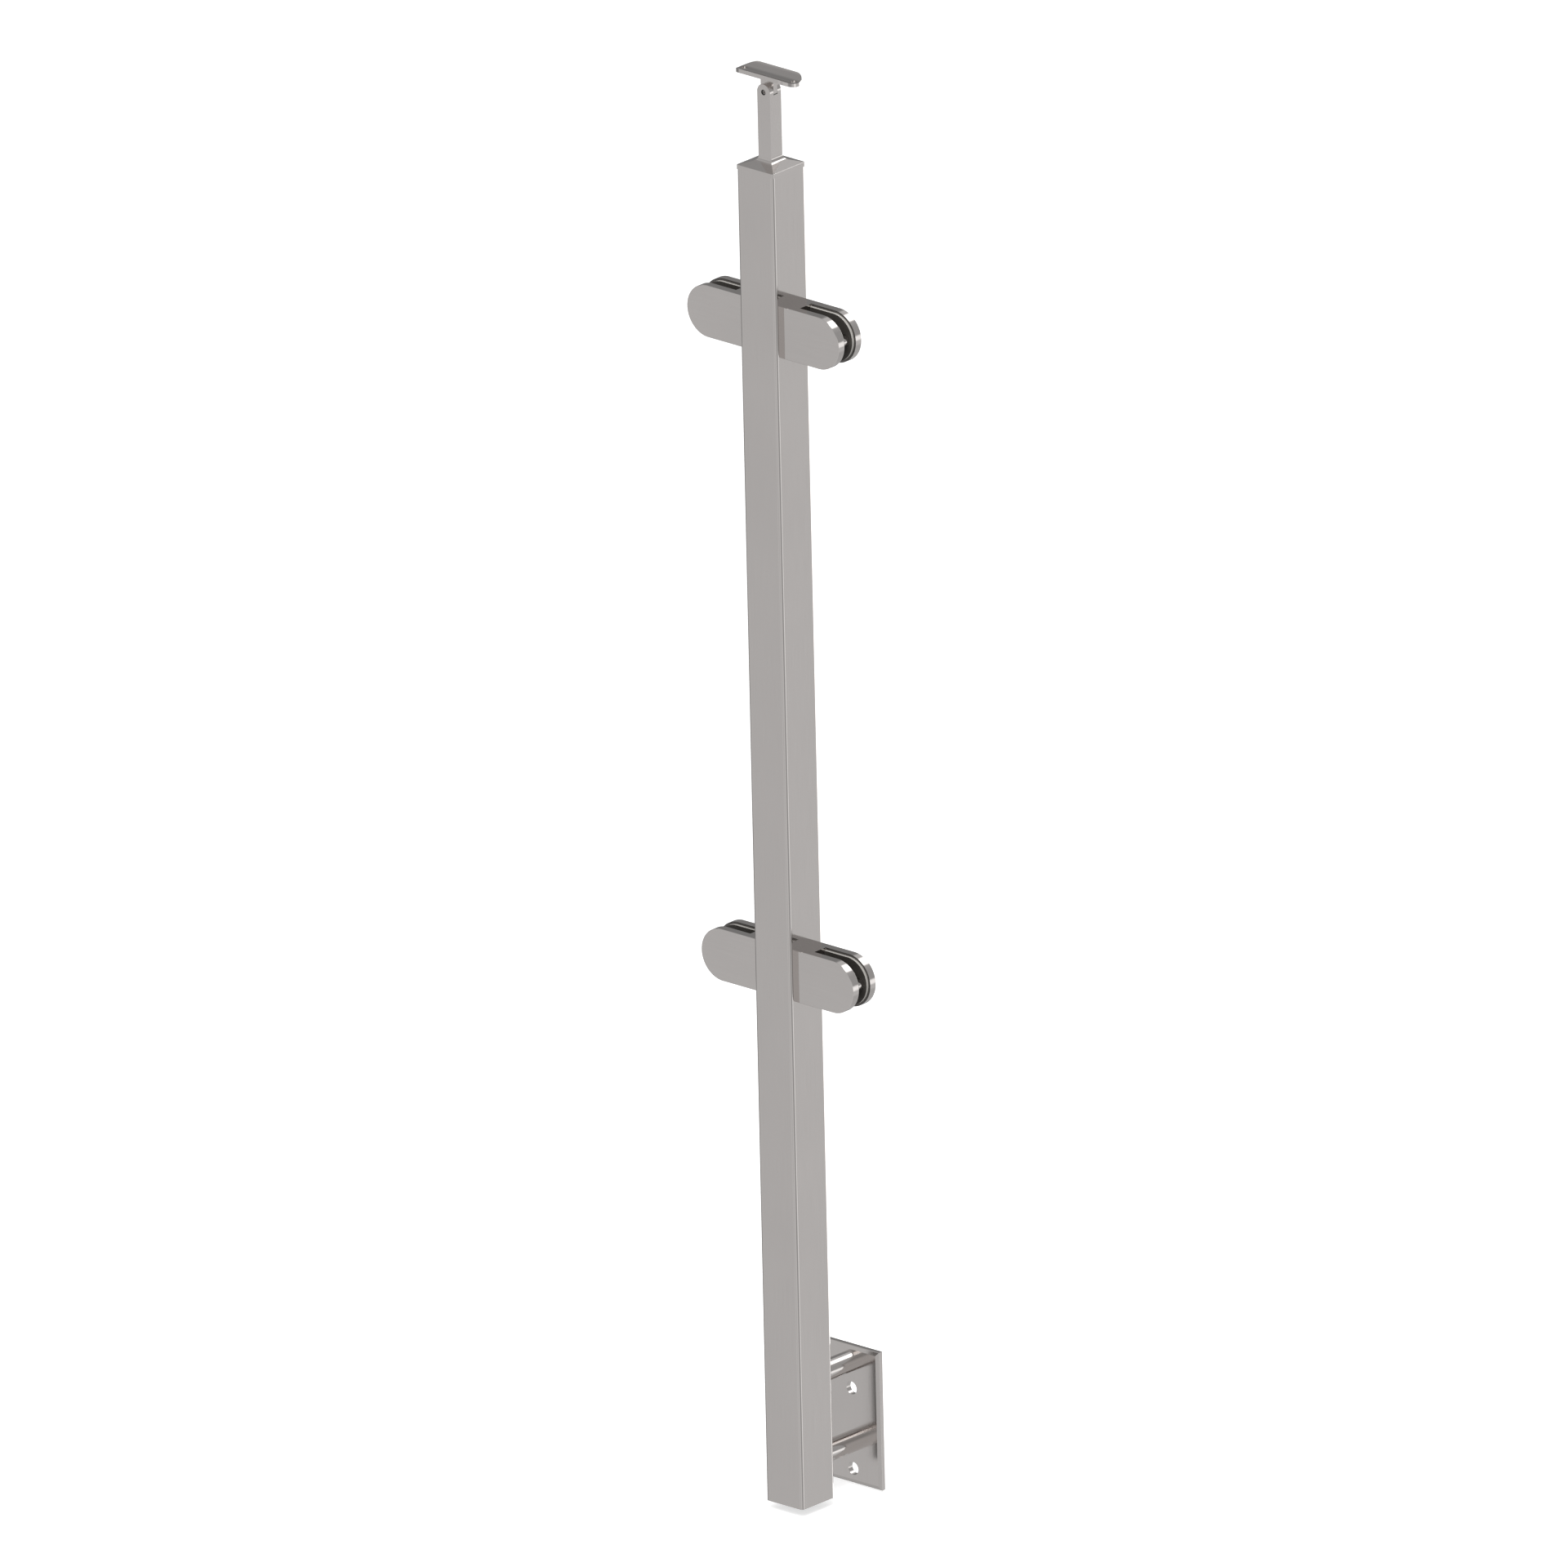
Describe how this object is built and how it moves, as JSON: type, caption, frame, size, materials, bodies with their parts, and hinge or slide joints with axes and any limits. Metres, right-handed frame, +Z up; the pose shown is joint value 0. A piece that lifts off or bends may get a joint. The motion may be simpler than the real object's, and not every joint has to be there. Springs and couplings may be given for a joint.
{
  "type": "railing post",
  "caption": "Square steel railing post for side mounting: wall plate on spacer bars, glass clamps on both sides and a tilting saddle on a stem for a round handrail.",
  "frame": {"origin": "middle of the wall plate's back face, which lies on the wall", "axes": "+X along the railing, +Y into the wall, +Z up along the post"},
  "size_m": [0.166, 0.09, 1.2479],
  "materials": {
    "tube_steel": "polished along its length",
    "cast_steel": "polished casting",
    "saddle_steel": "polished",
    "plate_steel": "polished flat",
    "clamp_steel": "polished casting",
    "turned_steel": "turned and polished",
    "fastener_steel": "bright screw",
    "pad_rubber": "matte moulded"
  },
  "bodies": {
    "post": {"post_tube": "tube_steel", "top_cap": "cast_steel", "handrail_stem": "cast_steel", "stem_bolt": "fastener_steel", "pivot_screw": "fastener_steel", "wall_plate": "plate_steel", "upper_spacer_bar": "turned_steel", "lower_spacer_bar": "turned_steel", "lower_right_clamp_body": "clamp_steel", "lower_left_clamp_body": "clamp_steel", "upper_right_clamp_body": "clamp_steel", "upper_left_clamp_body": "clamp_steel", "lower_right_clamp_cover": "clamp_steel", "lower_left_clamp_cover": "clamp_steel", "upper_right_clamp_cover": "clamp_steel", "upper_left_clamp_cover": "clamp_steel", "lower_right_clamp_front_pad": "pad_rubber", "lower_left_clamp_front_pad": "pad_rubber", "upper_right_clamp_front_pad": "pad_rubber", "upper_left_clamp_front_pad": "pad_rubber", "lower_right_clamp_rear_pad": "pad_rubber", "lower_left_clamp_rear_pad": "pad_rubber", "upper_right_clamp_rear_pad": "pad_rubber", "upper_left_clamp_rear_pad": "pad_rubber", "lower_right_clamp_safety_pin": "turned_steel", "lower_left_clamp_safety_pin": "turned_steel", "upper_right_clamp_safety_pin": "turned_steel", "upper_left_clamp_safety_pin": "turned_steel", "lower_right_clamp_cover_screws": "fastener_steel", "lower_left_clamp_cover_screws": "fastener_steel", "upper_right_clamp_cover_screws": "fastener_steel", "upper_left_clamp_cover_screws": "fastener_steel", "lower_right_clamp_mount_bolt": "fastener_steel", "lower_left_clamp_mount_bolt": "fastener_steel", "upper_right_clamp_mount_bolt": "fastener_steel", "upper_left_clamp_mount_bolt": "fastener_steel", "lower_right_clamp_rivet_nut": "fastener_steel", "lower_left_clamp_rivet_nut": "fastener_steel", "upper_right_clamp_rivet_nut": "fastener_steel", "upper_left_clamp_rivet_nut": "fastener_steel"},
    "saddle": {"saddle_tongue": "saddle_steel", "saddle_plate": "saddle_steel"}
  },
  "joints": [
    {"name": "saddle_tilt", "type": "hinge", "parent": "post", "child": "saddle", "pos_m": [0, -0.07, 1.1708], "axis": [0, 1, 0], "range_deg": [-30, 30]}
  ]
}
